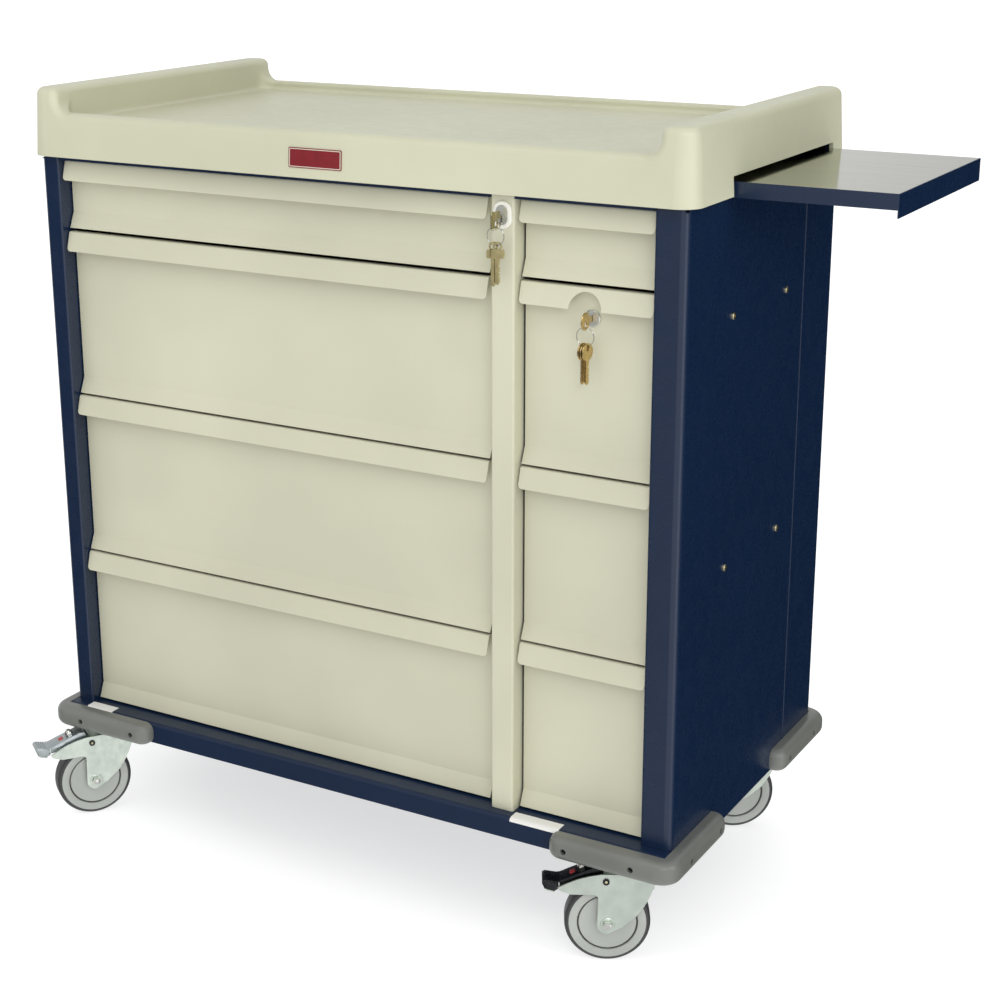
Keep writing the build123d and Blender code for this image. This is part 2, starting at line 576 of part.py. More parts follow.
bumpers = []
bumper_screws = []
for sx in (-1, 1):
    for sy, y_face in ((-1, LEDGE_Y), (1, REAR_Y)):
        body = corner_bumper(sx, sy, y_face)
        xo = sx * (HALF_W + BUMP_OUT)
        yo = y_face + sy * BUMP_OUT
        for at in SCREW_AT:
            x = xo - sx * at
            y = yo - sy * at
            a, b = sorted((y_face, yo - sy * 11.0))
            c, d = sorted((yo - sy * 11.0, yo + sy * 2.0))
            body -= rod_y(x, SCREW_Z, 2.7, a - 1, b + 1)
            body -= rod_y(x, SCREW_Z, 4.4, c, d)
            e, f = sorted((yo - sy * 11.0, yo - sy * 5.0))
            bumper_screws.append(rod_y(x, SCREW_Z, 2.5, a, b) + rod_y(x, SCREW_Z, 4.1, e, f))
            a, b = sorted((sx * HALF_W, xo - sx * 11.0))
            c, d = sorted((xo - sx * 11.0, xo + sx * 2.0))
            body -= rod_x(y, SCREW_Z, 2.7, a - 1, b + 1)
            body -= rod_x(y, SCREW_Z, 4.4, c, d)
            e, f = sorted((xo - sx * 11.0, xo - sx * 5.0))
            bumper_screws.append(rod_x(y, SCREW_Z, 2.5, a, b) + rod_x(y, SCREW_Z, 4.1, e, f))
        bumpers.append(body)
save("corner_bumpers", *bumpers)
save("bumper_screws", *bumper_screws)

# ---------------------------------------------------------------- casters
KING_R = 6.0
FORK_IN = 20.0
FORK_OUT = 22.5


def caster_frame(name):
    """Local frame of a caster: X away from the trailing wheel, Y up, Z along the axle."""
    x, y, azimuth, tilt = CASTERS[name]
    a = math.radians(azimuth)
    forward = (math.cos(a), math.sin(a), 0)
    axle = (math.sin(a), -math.cos(a), 0)
    return Plane(origin=(x, y, 0), x_dir=forward, z_dir=axle)


def slab(points, t0, t1, rounds=()):
    """Closed outline in the caster's wheel plane, extruded along the axle."""
    face = make_face(Polyline(*points, close=True))
    for point, radius in rounds:
        face = fillet(face.vertices().sort_by_distance((point[0], point[1], 0))[0], radius)
    return Pos(0, 0, t0) * extrude(face, amount=t1 - t0)


def disc(s, z, radius, t0, t1):
    return Pos(s, z, (t0 + t1) / 2) * Cylinder(radius, t1 - t0)


ARM_FORK = [
    (27, 143), (-50, 143), (-66, 140), (-82, 135.5), (-96, 129.5), (-112, 121.5), (-110, 117),
    (-94, 111), (-53.5, 110), (-54.4, 62.5), (-54.4, 47.5), (-39, 47.5), (-19, 58.5),
    (1, 75.5), (13, 93), (20, 107), (27, 126),
]
ARM_ROUNDS = [((-53.5, 110), 6.0), ((-54.4, 47.5), 14.5), ((-110, 117), 2.5), ((27, 126), 8.0)]
PLAIN_FORK = [
    (27, 143), (-46, 143), (-57, 128), (-54.4, 62.5), (-54.4, 47.5), (-39, 47.5), (-19, 58.5),
    (1, 75.5), (13, 93), (20, 107), (27, 126),
]
PLAIN_ROUNDS = [((-46, 143), 8.0), ((-57, 128), 8.0), ((-54.4, 47.5), 14.5), ((27, 126), 8.0)]


def caster_fork(braked):
    outline = ARM_FORK if braked else PLAIN_FORK
    rounds = ARM_ROUNDS if braked else PLAIN_ROUNDS
    fork = slab(outline, FORK_IN, FORK_OUT, rounds) + slab(outline, -FORK_OUT, -FORK_IN, rounds)
    crown = [(27, 140), (-46, 140), (-46, 143), (27, 143)]
    fork += slab(crown, -FORK_IN, FORK_IN)
    fork += slab([(24.5, 119), (27, 119), (27, 141), (24.5, 141)], -FORK_IN, FORK_IN)
    race = Pos(0, 0, 0) * Rot(90, 0, 0) * Cylinder(27.0, 3.6)
    fork += Pos(0, 144.8, 0) * race
    fork -= Pos(0, 143, 0) * Rot(90, 0, 0) * Cylinder(KING_R + RUN_GAP, 12)
    fork += disc(-TRAIL, WHEEL_R, AXLE_R, -26.0, 26.0)
    hexagon = RegularPolygon(7.5, 6)
    for t0, t1 in ((FORK_OUT, 28.0), (-28.0, -FORK_OUT)):
        fork += Pos(-TRAIL, WHEEL_R, t0) * extrude(hexagon, amount=t1 - t0)
    if braked:
        fork += disc(-42.5, 132.0, 2.5, -FORK_OUT, FORK_OUT)
        for t0, t1 in ((FORK_OUT, 23.7), (-23.7, -FORK_OUT)):
            fork += disc(-42.5, 132.0, 4.5, t0, t1)
    return fork


def caster_wheel():
    half = WHEEL_W / 2
    profile = [
        (AXLE_R + RUN_GAP, -19.0), (13.0, -19.0), (13.0, -half + 2.5), (41.5, -half + 2.5),
        (41.5, -half + 3.5), (43.5, -half + 3.5), (43.5, -half), (56.0, -half), (58.0, -half + 1.5),
        (61.5, -half + 5.5), (WHEEL_R, -half + 9.0), (WHEEL_R, half - 9.0), (61.5, half - 5.5),
        (58.0, half - 1.5), (56.0, half), (43.5, half), (43.5, half - 3.5), (41.5, half - 3.5),
        (41.5, half - 2.5), (13.0, half - 2.5), (13.0, 19.0), (AXLE_R + RUN_GAP, 19.0),
    ]
    face = make_face(Polyline(*profile, close=True))
    solid = revolve(face, axis=Axis.Y)
    return Pos(-TRAIL, WHEEL_R, 0) * Rot(90, 0, 0) * solid


PEDAL = [
    (-37, 136), (-49.5, 138.5), (-51.5, 150.5), (-61, 150), (-110, 132), (-133, 136.5), (-135.5, 132),
    (-128, 110), (-123, 108), (-113, 112), (-110, 122), (-76, 127.5), (-48, 127), (-37, 128),
]


def brake_pedal(tilt):
    body = slab(PEDAL, -15.0, 15.0, [((-135.5, 132), 2.0), ((-128, 110), 3.0), ((-61, 150), 5.0)])
    body -= slab([(-108, 120), (-108, 118), (-84, 118), (-84, 122)], -11.0, 11.0)
    for s, z in ((-126.5, 136.0), (-119.5, 134.6)):
        body -= slab([(s - 1, z + 2), (s + 1, z + 2), (s, z - 1.5)], -16.0, 16.0)
    body += disc(-42.5, 132.0, 6.0, -18.5, 18.5)
    body -= disc(-42.5, 132.0, 2.5 + RUN_GAP, -20.0, 20.0)
    return Pos(-42.5, 132.0, 0) * Rot(0, 0, tilt) * Pos(42.5, -132.0, 0) * body


plates = []
for name, (x, y, azimuth, tilt) in CASTERS.items():
    local = caster_frame(name)
    save("caster_" + name + "_fork", local * caster_fork(tilt is not None))
    save("caster_" + name + "_wheel", local * caster_wheel())
    if tilt is not None:
        save("brake_pedal_" + name, local * brake_pedal(tilt))
    plate = Pos(x, y, 154.5) * Box(92.0, 68.0, 3.0)
    plate = fillet(plate.edges().filter_by(Axis.Z), 6.0)
    plate += rod_z(x, y, 29.0, 147.0, 153.0)
    plate += rod_z(x, y, KING_R, 138.0, 147.0)
    plate += rod_z(x, y, 10.0, 134.5, 139.6)
    for dx in (-36.0, 36.0):
        for dy in (-24.0, 24.0):
            plate += Pos(x + dx, y + dy, 151.0) * extrude(RegularPolygon(5.5, 6), amount=2.0)
    plates.append(plate)
save("caster_plates", *plates)
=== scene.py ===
import bmesh
import bpy
import json
import math
from mathutils import Matrix, Vector


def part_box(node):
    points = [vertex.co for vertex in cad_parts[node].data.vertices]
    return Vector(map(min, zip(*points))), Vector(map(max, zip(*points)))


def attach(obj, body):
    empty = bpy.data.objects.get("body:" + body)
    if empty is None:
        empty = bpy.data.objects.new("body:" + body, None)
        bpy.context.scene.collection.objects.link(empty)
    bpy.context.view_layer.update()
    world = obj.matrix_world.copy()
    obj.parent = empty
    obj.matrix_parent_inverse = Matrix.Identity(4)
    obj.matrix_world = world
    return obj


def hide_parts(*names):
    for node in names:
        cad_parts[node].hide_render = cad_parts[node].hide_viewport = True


# Medication cart: a drawer cabinet on four swivel casters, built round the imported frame.
# Places are in metres, in the frame of the CAD model: +Z up, drawer fronts towards -Y.
# Outlines and profiles are in millimetres, in a local frame of their own.

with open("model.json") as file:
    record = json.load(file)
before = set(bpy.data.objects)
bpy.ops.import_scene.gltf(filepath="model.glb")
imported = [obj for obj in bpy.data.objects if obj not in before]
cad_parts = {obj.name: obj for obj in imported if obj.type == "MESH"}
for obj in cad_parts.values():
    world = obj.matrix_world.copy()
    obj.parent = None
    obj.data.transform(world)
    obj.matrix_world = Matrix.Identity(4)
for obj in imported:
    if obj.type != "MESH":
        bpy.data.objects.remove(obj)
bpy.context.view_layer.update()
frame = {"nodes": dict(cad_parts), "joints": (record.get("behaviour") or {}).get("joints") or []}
NODES = frame["nodes"]
JOINTS = {joint["name"]: joint for joint in frame["joints"]}
MM = 0.001
RANGE_SOCKETS = ("From Min", "From Max", "To Min", "To Max")
FACES = ((1, "outer"), (-1, "inner"))      # the two sides of a wheel, along its axle


# ---------------------------------------------------------------- materials
class Look:
    """One procedural material: a Principled shader and short calls that feed it."""

    def __init__(self, name, color, rough, metal=0.0, coat=0.0, coat_rough=0.1, specular=0.5):
        self.mat = bpy.data.materials.new(name)
        self.mat.use_nodes = True
        self.tree = self.mat.node_tree
        self.shader = self.tree.nodes["Principled BSDF"]
        self.normal = None
        self.coords = self.tree.nodes.new("ShaderNodeTexCoord").outputs["Object"]
        self.value("Base Color", (*color, 1.0))
        self.value("Roughness", rough)
        self.value("Metallic", metal)
        self.value("Coat Weight", coat)
        self.value("Coat Roughness", coat_rough)
        self.value("Specular IOR Level", specular)
        self.mat.diffuse_color = (*color, 1.0)

    def value(self, socket, amount):
        self.shader.inputs[socket].default_value = amount

    def noise(self, scale, detail=2.0, stretch=(1.0, 1.0, 1.0), turn=0.0):
        """Noise field in object space; scale is in cells per metre."""
        mapping = self.tree.nodes.new("ShaderNodeMapping")
        mapping.inputs["Scale"].default_value = stretch
        mapping.inputs["Rotation"].default_value = (0.0, 0.0, turn)
        texture = self.tree.nodes.new("ShaderNodeTexNoise")
        texture.inputs["Scale"].default_value = scale
        texture.inputs["Detail"].default_value = detail
        self.tree.links.new(self.coords, mapping.inputs["Vector"])
        self.tree.links.new(mapping.outputs["Vector"], texture.inputs["Vector"])
        return texture.outputs["Fac"]

    def cells(self, scale):
        """Distance to the nearest of many scattered points, for pebbled surfaces."""
        texture = self.tree.nodes.new("ShaderNodeTexVoronoi")
        texture.inputs["Scale"].default_value = scale
        self.tree.links.new(self.coords, texture.inputs["Vector"])
        return texture.outputs["Distance"]

    def remap(self, field, low, high, to_low, to_high):
        """Stretches a field from low..high onto to_low..to_high, clamped."""
        node = self.tree.nodes.new("ShaderNodeMapRange")
        for name, amount in zip(RANGE_SOCKETS, (low, high, to_low, to_high)):
            node.inputs[name].default_value = amount
        self.tree.links.new(field, node.inputs["Value"])
        return node.outputs["Result"]

    def tint(self, field, dark, light):
        """Base colour between two tones, following a 0..1 field."""
        mix = self.tree.nodes.new("ShaderNodeMix")
        mix.data_type = "RGBA"
        mix.inputs["A"].default_value = (*dark, 1.0)
        mix.inputs["B"].default_value = (*light, 1.0)
        self.tree.links.new(field, mix.inputs["Factor"])
        self.tree.links.new(mix.outputs["Result"], self.shader.inputs["Base Color"])
        return self

    def painted_shadow_glow(self, stretch, near, far, to_near, to_far):
        """Painted shade: emission that grows from to_near to to_far away from the origin of the floor, so
        the glowing floor is dimmer near the cart as a soft painted shadow.
        """
        mapping = self.tree.nodes.new("ShaderNodeMapping")
        mapping.inputs["Scale"].default_value = (*stretch, 0.0)
        length = self.tree.nodes.new("ShaderNodeVectorMath")
        length.operation = "LENGTH"
        self.tree.links.new(self.coords, mapping.inputs["Vector"])
        self.tree.links.new(mapping.outputs["Vector"], length.inputs[0])
        painted_shadow_glow = self.remap(length.outputs["Value"], near, far, to_near, to_far)
        self.tree.links.new(painted_shadow_glow, self.shader.inputs["Emission Strength"])

    def gloss(self, field, low, high):
        """Roughness between low and high, following a field."""
        self.tree.links.new(self.remap(field, 0.3, 0.7, low, high), self.shader.inputs["Roughness"])
        return self

    def bump(self, field, depth):
        """Adds relief of the given depth in metres; calls stack up."""
        node = self.tree.nodes.new("ShaderNodeBump")
        node.inputs["Distance"].default_value = depth
        self.tree.links.new(field, node.inputs["Height"])
        if self.normal:
            self.tree.links.new(self.normal, node.inputs["Normal"])
        self.normal = node.outputs["Normal"]
        self.tree.links.new(self.normal, self.shader.inputs["Normal"])
        return self


def shade(color, factor):
    return tuple(channel * factor for channel in color)


def powder_coat(name, color, rough, coat, specular=0.5):
    """Baked powder coat: fine orange peel, a faint drift in tone and a few dust nibs."""
    look = Look(name, color, rough, coat=coat, coat_rough=0.12, specular=specular)
    drift = look.noise(2.5, 3.0)
    look.tint(look.remap(drift, 0.35, 0.65, 0.0, 1.0), shade(color, 0.94), shade(color, 1.06))
    look.gloss(look.noise(35.0, 3.0), rough - 0.05, rough + 0.05)
    look.bump(look.noise(420.0, 2.0), 0.00002)
    look.bump(look.noise(60.0, 1.0), 0.00005)
    return look


def moulded_plastic(name, color, rough):
    """Thermoformed plastic sheet: pebbled skin and soft flow marks."""
    look = Look(name, color, rough, coat=0.08, coat_rough=0.35)
    drift = look.noise(3.0, 4.0)
    look.tint(look.remap(drift, 0.35, 0.65, 0.0, 1.0), shade(color, 0.95), shade(color, 1.05))
    look.gloss(look.noise(60.0, 4.0), rough - 0.06, rough + 0.06)
    look.bump(look.cells(900.0), 0.00007)
    look.bump(look.noise(24.0, 2.0), 0.0002)
    return look


def brushed_metal(name, color, rough, along, depth):
    """Metal with fine parallel grain; along is 0, 1 or 2 for the axis the grain follows."""
    look = Look(name, color, rough, metal=1.0)
    stretch = [1.0, 1.0, 1.0]
    stretch[along] = 0.012
    fine = look.noise(2600.0, 2.0, stretch)
    wide = look.noise(300.0, 3.0, stretch)
    look.tint(look.remap(wide, 0.3, 0.7, 0.0, 1.0), shade(color, 0.86), shade(color, 1.08))
    look.gloss(fine, rough * 0.7, rough * 1.4)
    look.bump(fine, depth)
    return look


def plated_steel(name, color, rough, spangle, metal=0.85):
    """Zinc-plated pressed steel: cloudy plating with a fine drawn texture."""
    look = Look(name, color, rough, metal=metal)
    clouds = look.noise(38.0, 4.0)
    cloud = look.remap(clouds, 0.32, 0.68, 0.0, 1.0)
    look.tint(cloud, shade(color, 1.0 - spangle), shade(color, 1.0 + spangle))
    look.gloss(look.noise(120.0, 3.0), rough - 0.08, rough + 0.08)
    look.bump(look.noise(700.0, 2.0), 0.00003)
    return look


def polished_metal(name, color, rough, worn):
    """Polished metal with hairline scratches and handling wear."""
    look = Look(name, color, rough, metal=1.0)
    wear = look.noise(150.0, 4.0)
    look.tint(look.remap(wear, 0.35, 0.7, 0.0, 1.0), color, shade(color, worn))
    look.gloss(look.noise(400.0, 2.0), rough * 0.7, rough * 1.5)
    look.bump(look.noise(1800.0, 2.0, (1.0, 1.0, 0.08), 0.5), 0.00001)
    return look


def soft_rubber(name, color, rough, coat):
    """Moulded vinyl or rubber: a fine skin with faint mould flow."""
    look = Look(name, color, rough, coat=coat, coat_rough=0.25)
    flow = look.noise(9.0, 4.0)
    look.tint(look.remap(flow, 0.3, 0.7, 0.0, 1.0), shade(color, 0.9), shade(color, 1.1))
    look.gloss(look.noise(30.0, 2.0), rough - 0.05, rough + 0.05)
    look.bump(look.noise(500.0, 2.0), 0.00002)
    return look


NAVY = (0.0052, 0.0160, 0.0460)
PUTTY = (0.572, 0.564, 0.428)

navy = powder_coat("navy_powder_coat", NAVY, 0.27, 0.1, 0.5)
dull_navy = powder_coat("dull_navy_powder_coat", NAVY, 0.38, 0.1, 0.25)
putty = powder_coat("putty_powder_coat", PUTTY, 0.42, 0.15)
plastic = moulded_plastic("putty_moulded_plastic", (0.548, 0.548, 0.404), 0.4)
galvanised = plated_steel("galvanised_sheet", (0.50, 0.51, 0.50), 0.45, 0.12)
stainless = brushed_metal("brushed_stainless", (0.455, 0.462, 0.395), 0.10, 0, 0.000005)
zinc = plated_steel("bright_zinc", (0.57, 0.63, 0.565), 0.36, 0.09)
dark_steel = plated_steel("pedal_steel", (0.38, 0.42, 0.43), 0.26, 0.06)
vinyl = soft_rubber("grey_bumper_vinyl", (0.158, 0.164, 0.150), 0.33, 0.1)
hub = soft_rubber("grey_hub", (0.400, 0.420, 0.390), 0.36, 0.15)
tread = soft_rubber("charcoal_tread", (0.040, 0.040, 0.042), 0.5, 0.05)
brass = polished_metal("key_brass", (0.68, 0.50, 0.22), 0.24, 0.86)
pale_brass = polished_metal("key_pale_brass", (0.42, 0.36, 0.185), 0.24, 0.8)
nickel = polished_metal("bright_nickel", (0.66, 0.66, 0.63), 0.14, 0.85)
satin_nickel = plated_steel("satin_nickel", (0.64, 0.66, 0.61), 0.24, 0.05, 0.65)
ring_wire = polished_metal("ring_wire", (0.52, 0.52, 0.51), 0.12, 0.6)
ivory = Look("ivory_trim", (0.78, 0.77, 0.70), 0.3, coat=0.3)
ivory.bump(ivory.noise(500.0), 0.00003).gloss(ivory.noise(80.0), 0.25, 0.4)
black_screw = polished_metal("blackened_screw", (0.045, 0.045, 0.048), 0.35, 0.8)
yellow_zinc = polished_metal("yellow_zinc", (0.72, 0.66, 0.44), 0.3, 0.75)
black_steel = polished_metal("black_pedal_steel", (0.030, 0.031, 0.034), 0.3, 1.6)
red_paint = Look("red_mark", (0.42, 0.030, 0.030), 0.4, coat=0.2)
red_paint.tint(red_paint.noise(300.0), (0.36, 0.024, 0.024), (0.46, 0.034, 0.034))
pale_gold = Look("badge_border", (0.62, 0.55, 0.46), 0.35, coat=0.3)
pale_gold.tint(pale_gold.noise(200.0), (0.58, 0.51, 0.42), (0.66, 0.59, 0.50))
enamel = Look("badge_enamel", (0.20, 0.012, 0.018), 0.25, coat=0.6)
enamel.tint(enamel.noise(60.0), (0.16, 0.010, 0.014), (0.24, 0.014, 0.022))
enamel.bump(enamel.noise(300.0), 0.00002)
label = Look("label_stock", (0.80, 0.79, 0.76), 0.45)
label.tint(label.noise(200.0), (0.76, 0.75, 0.72), (0.83, 0.82, 0.79))
label.bump(label.noise(900.0), 0.00002)

CAD_LOOKS = {
    navy: ["left_side_panel", "right_side_panel", "back_panel", "shelf_frame"],
    dull_navy: ["base_pan", "top_deck"],
    putty: ["centre_post"] + [n for n in NODES if n.endswith("_front") and "drawer" in n],
    plastic: ["worktop"],
    galvanised: [
        "centre_partition", "slide_uprights", "cabinet_runners", "shelf_guides", "lock_bar",
        *[n for n in NODES if n.endswith("_box")],
    ],
    stainless: ["shelf_top"],
    vinyl: ["corner_bumpers"],
    zinc: ["bolt_inserts", "caster_plates", "main_lock_cam", "drawer_lock_cam"]
    + [n for n in NODES if n.endswith("_fork")],
    black_screw: ["bumper_screws"],
    hub: [n for n in NODES if n.endswith("_wheel")],
    dark_steel: [n for n in NODES if n.startswith("brake_pedal")],
    brass: ["drawer_key", "drawer_spare_keys"],
    pale_brass: ["main_key", "main_spare_keys"],
    nickel: ["main_key_ring", "drawer_key_ring"],
    satin_nickel: ["main_lock_housing", "main_lock_plug", "drawer_lock_housing", "drawer_lock_plug"],
    ivory: ["main_lock_escutcheon"],
    yellow_zinc: ["side_screws"],
    enamel: ["badge_plate"],
    label: ["base_labels"],
}


def smooth(mesh, degrees=30.0):
    """Smooth shading, with edges sharper than the angle kept crisp."""
    for polygon in mesh.polygons:
        polygon.use_smooth = True
    mesh.set_sharp_from_angle(angle=math.radians(degrees))


def soften(node, width, segments=2, degrees=40.0):
    """Rolls the sharp edges of a CAD part a little, so that they catch the light."""
    bevel = node.modifiers.new("soft_edges", "BEVEL")
    bevel.width = width * MM
    bevel.segments = segments
    bevel.limit_method = "ANGLE"
    bevel.angle_limit = math.radians(degrees)
    bevel.harden_normals = False


for look, names in CAD_LOOKS.items():
    for name in names:
        for slot in NODES[name].material_slots:
            slot.link = "OBJECT"
            slot.material = look.mat
        smooth(NODES[name].data)
for name in NODES:
    if name.endswith("_front") or name in ("centre_post", "shelf_frame"):
        soften(NODES[name], 0.5)
    elif name in ("left_side_panel", "right_side_panel", "back_panel"):
        soften(NODES[name], 0.65)
    elif name.endswith("_fork"):
        soften(NODES[name], 0.7)


# ---------------------------------------------------------------- piece helpers
def arc(centre, radius, start, end, steps=8):
    """Points on a circle between two angles in degrees, both ends included."""
    points = []
    for i in range(steps + 1):
        angle = math.radians(start + (end - start) * i / steps)
        points.append((centre[0] + radius * math.cos(angle), centre[1] + radius * math.sin(angle)))
    return points


def rounded(corners, steps=6):
    """Closed outline with an arc at each corner; a corner is (x, y, radius)."""
    points = []
    count = len(corners)
    for i, (x, y, radius) in enumerate(corners):
        here = Vector((x, y))
        before = Vector(corners[i - 1][:2]) - here
        after = Vector(corners[(i + 1) % count][:2]) - here
        if radius <= 0.0:
            points.append((x, y))
            continue
        before.normalize()
        after.normalize()
        half = before.angle(after) / 2
        reach = radius / math.tan(half)
        middle = here + (before + after).normalized() * radius / math.sin(half)
        first = here + before * reach - middle
        last = here + after * reach - middle
        turn = first.angle_signed(last)
        for k in range(steps + 1):
            spot = first.copy()
            spot.rotate(Matrix.Rotation(-turn * k / steps, 2))
            points.append(tuple(middle + spot))
    return points


def ribbon(path, width):
    """Closed outline of a strip of constant width along an open path."""
    left, right = [], []
    for i, point in enumerate(path):
        here = Vector(point)
        ahead = Vector(path[i + 1]) - here if i + 1 < len(path) else here - Vector(path[i - 1])
        behind = here - Vector(path[i - 1]) if i else ahead
        tangent = (ahead.normalized() + behind.normalized()).normalized()
        side = Vector((-tangent.y, tangent.x))
        stretch = width / 2 / max(0.4, side.dot(Vector((-ahead.y, ahead.x)).normalized()))
        left.append(tuple(here + side * stretch))
        right.append(tuple(here - side * stretch))
    return left + right[::-1]


def finish_piece(name, mesh, look, body, stands_for=(), degrees=32.0):
    mesh.name = name
    mesh.materials.clear()
    mesh.materials.append(look.mat)
    smooth(mesh, degrees)
    item = bpy.data.objects.new(name, mesh)
    bpy.context.scene.collection.objects.link(item)
    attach(item, body)
    if stands_for:
        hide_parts(*stands_for)
    return item


def place_mesh(mesh, place):
    """Takes a mesh from millimetres in a local frame to metres in the cart's frame."""
    mesh.transform(place @ Matrix.Scale(MM, 4))
    if place.is_negative:
        mesh.flip_normals()
    mesh.update()


def plate(name, outlines, low, high, edge, place, look, body, stands_for=()):
    """Flat part from closed outlines (the first is the rim, the rest are holes), edges rolled."""
    curve = bpy.data.curves.new(name, "CURVE")
    curve.dimensions = "2D"
    curve.fill_mode = "BOTH"
    curve.extrude = (high - low) / 2 - edge
    curve.bevel_depth = edge
    curve.bevel_resolution = 2
    curve.offset = -edge
    for outline in outlines:
        spline = curve.splines.new("POLY")
        spline.points.add(len(outline) - 1)
        for spot, (x, y) in zip(spline.points, outline):
            spot.co = (x, y, 0.0, 1.0)
        spline.use_cyclic_u = True
    source = bpy.data.objects.new(name + "_outline", curve)
    bpy.context.scene.collection.objects.link(source)
    bpy.context.view_layer.update()
    graph = bpy.context.evaluated_depsgraph_get()
    mesh = bpy.data.meshes.new_from_object(source.evaluated_get(graph))
    bpy.data.objects.remove(source)
    bpy.data.curves.remove(curve)
    shape = bmesh.new()
    shape.from_mesh(mesh)
    bmesh.ops.remove_doubles(shape, verts=shape.verts, dist=0.001)
    bmesh.ops.recalc_face_normals(shape, faces=shape.faces)
    shape.to_mesh(mesh)
    shape.free()
    place_mesh(mesh, place @ Matrix.Translation((0.0, 0.0, (low + high) / 2 * MM)))
    return finish_piece(name, mesh, look, body, stands_for)


def lathe(name, profile, place, look, body, stands_for=(), segments=96):
    """Closed profile of (radius, height) turned about the local Z axis."""
    verts = []
    faces = []
    count = len(profile)
    for i in range(segments):
        angle = 2 * math.pi * i / segments
        for radius, height in profile:
            verts.append((radius * math.cos(angle), radius * math.sin(angle), height))
    for i in range(segments):
        j = (i + 1) % segments
        for k in range(count):
            m = (k + 1) % count
            faces.append((i * count + k, j * count + k, j * count + m, i * count + m))
    mesh = bpy.data.meshes.new(name)
    mesh.from_pydata(verts, [], faces)
    shape = bmesh.new()
    shape.from_mesh(mesh)
    bmesh.ops.remove_doubles(shape, verts=shape.verts, dist=0.0005)
    bmesh.ops.recalc_face_normals(shape, faces=shape.faces)
    shape.to_mesh(mesh)
    shape.free()
    place_mesh(mesh, place)
    return finish_piece(name, mesh, look, body, stands_for)


def frame_at(origin, x_axis, y_axis):
    """Right-handed frame from an origin in metres and two directions."""
    x_axis = Vector(x_axis).normalized()
    z_axis = x_axis.cross(Vector(y_axis)).normalized()
    y_axis = z_axis.cross(x_axis)
    turn = Matrix((x_axis, y_axis, z_axis)).transposed().to_4x4()
    return Matrix.Translation(origin) @ turn


# ---------------------------------------------------------------- casters
WHEEL_R = 62.5
WHEEL_HALF = 16.0
TRAIL = 39.4                # from the swivel's axis back to the axle
PIVOT = (-42.5, 132.0)      # brake pedal's hinge in the caster's wheel plane


def both_sides(half):
    """A profile given for one side, from the rim inwards, and its mirror image."""
    return half + [(radius, -height) for radius, height in reversed(half)]


def wheel(corner, place):
    body = "wheel_" + corner
    node = "caster_" + corner + "_wheel"
    tire = [(54.0, 14.6), (56.6, 15.4)]
    tire += arc((56.4, 9.3), 6.1, 72, 0, 8)
    lathe("tread_" + corner, both_sides(tire), place, tread, body, (node,))
    rim = [(13.0, 18.6), (12.6, 19.0), (6.2, 19.0)]
    disc = [(56.8, 14.9), (55.6, 15.9), (54.8, WHEEL_HALF), (45.6, WHEEL_HALF), (44.4, 15.4)]
    disc += [(44.0, 12.4), (42.0, 12.4), (41.7, 14.2), (40.8, 15.0), (36.0, 14.6), (22.0, 13.7)]
    disc += [(13.6, 13.6), (13.0, 14.4)]
    lathe("hub_" + corner, both_sides(disc + rim), place, hub, body)
    for side, end in FACES:
        ring = [(41.6, 12.2 * side), (41.6, 13.0 * side), (44.2, 13.0 * side), (44.2, 12.2 * side)]
        lathe("groove_" + end + "_" + corner, ring, place, tread, body)


def fork_trim(corner, place, braked):
    """Washers, bolt caps and riveted bushes on the caster's fork."""
    body = "caster_" + corner
    axle = place @ Matrix.Translation((-TRAIL * MM, WHEEL_R * MM, 0.0))
    rivet = place @ Matrix.Translation((PIVOT[0] * MM, PIVOT[1] * MM, 0.0))
    for side, end in FACES:
        turned = Matrix.Scale(side, 4, (0.0, 0.0, 1.0))
        washer = [(7.0, 22.4), (7.0, 23.3), (10.2, 23.3), (10.8, 22.9), (10.8, 22.4)]
        lathe("washer_" + end + "_" + corner, washer, axle @ turned, zinc, body)
        cap = [(0.0, 27.6), (6.4, 27.6), (6.0, 28.5), (4.4, 29.1), (0.0, 29.3)]
        lathe("bolt_cap_" + end + "_" + corner, cap, axle @ turned, nickel, body,
              segments=6)
        if braked:
            bush = [(2.0, 23.0), (2.0, 24.5), (2.6, 25.0), (4.3, 25.0), (4.9, 24.4), (4.9, 23.0)]
            lathe("bush_" + end + "_" + corner, bush, rivet @ turned, black_screw, body)
            core = [(0.0, 22.8), (2.1, 22.8), (2.1, 24.6), (1.4, 25.0), (0.0, 25.1)]
            lathe("bush_core_" + end + "_" + corner, core, rivet @ turned, yellow_zinc, body)


